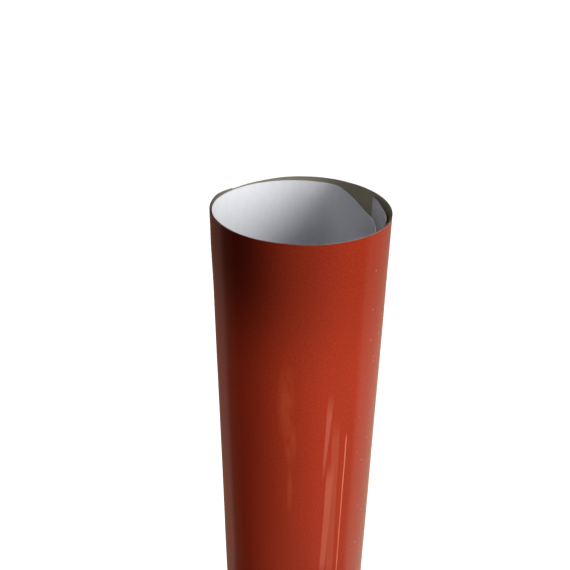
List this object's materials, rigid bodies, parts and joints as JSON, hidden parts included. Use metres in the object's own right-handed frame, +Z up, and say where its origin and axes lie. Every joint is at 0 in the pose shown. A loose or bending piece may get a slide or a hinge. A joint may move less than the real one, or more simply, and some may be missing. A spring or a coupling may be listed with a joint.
{
  "type": "roll of sign vinyl",
  "caption": "Coreless roll of self-adhesive sign vinyl standing on end: a glossy red sheet wound face out, with a white sheet sprung inside it.",
  "frame": {"origin": "middle of the roll's outline on the surface that it stands on", "axes": "+Z up along the roll's axis; -Y towards the viewer; the outer sheet's free end is at the back left, the inner sheet's free end at the right"},
  "size_m": [0.121, 0.1228, 0.61],
  "materials": {
    "red_film": "glossy cast film",
    "white_film": "glossy cast film",
    "adhesive": "clear tacky layer, matt",
    "grey_liner": "smooth warm grey release liner",
    "white_liner": "smooth white release liner"
  },
  "bodies": {
    "outer_sheet": {"outer_sheet_face_film": "red_film", "outer_sheet_adhesive": "adhesive", "outer_sheet_release_liner": "grey_liner"},
    "outer_free_end": {"outer_free_end_face_film": "red_film", "outer_free_end_adhesive": "adhesive", "outer_free_end_release_liner": "grey_liner"},
    "inner_sheet": {"inner_sheet_face_film": "white_film", "inner_sheet_adhesive": "adhesive", "inner_sheet_release_liner": "white_liner"},
    "inner_free_end": {"inner_free_end_face_film": "white_film", "inner_free_end_adhesive": "adhesive", "inner_free_end_release_liner": "white_liner"}
  },
  "joints": [
    {"name": "outer_free_end_lift", "type": "hinge", "parent": "outer_sheet", "child": "outer_free_end", "pos_m": [-0.06023, -0.00137, 0.305], "axis": [0, 0, 1], "range_deg": [0, 60], "stiffness_Nm_per_rad": 0.05},
    {"name": "inner_sheet_slide", "type": "slide", "parent": "outer_sheet", "child": "inner_sheet", "axis": [0, 0, 1], "range_m": [0, 0.58]},
    {"name": "inner_free_end_flex", "type": "hinge", "parent": "inner_sheet", "child": "inner_free_end", "pos_m": [0.05031, -0.03165, 0.305], "axis": [0, 0, 1], "range_deg": [0, 12], "stiffness_Nm_per_rad": 0.05}
  ]
}
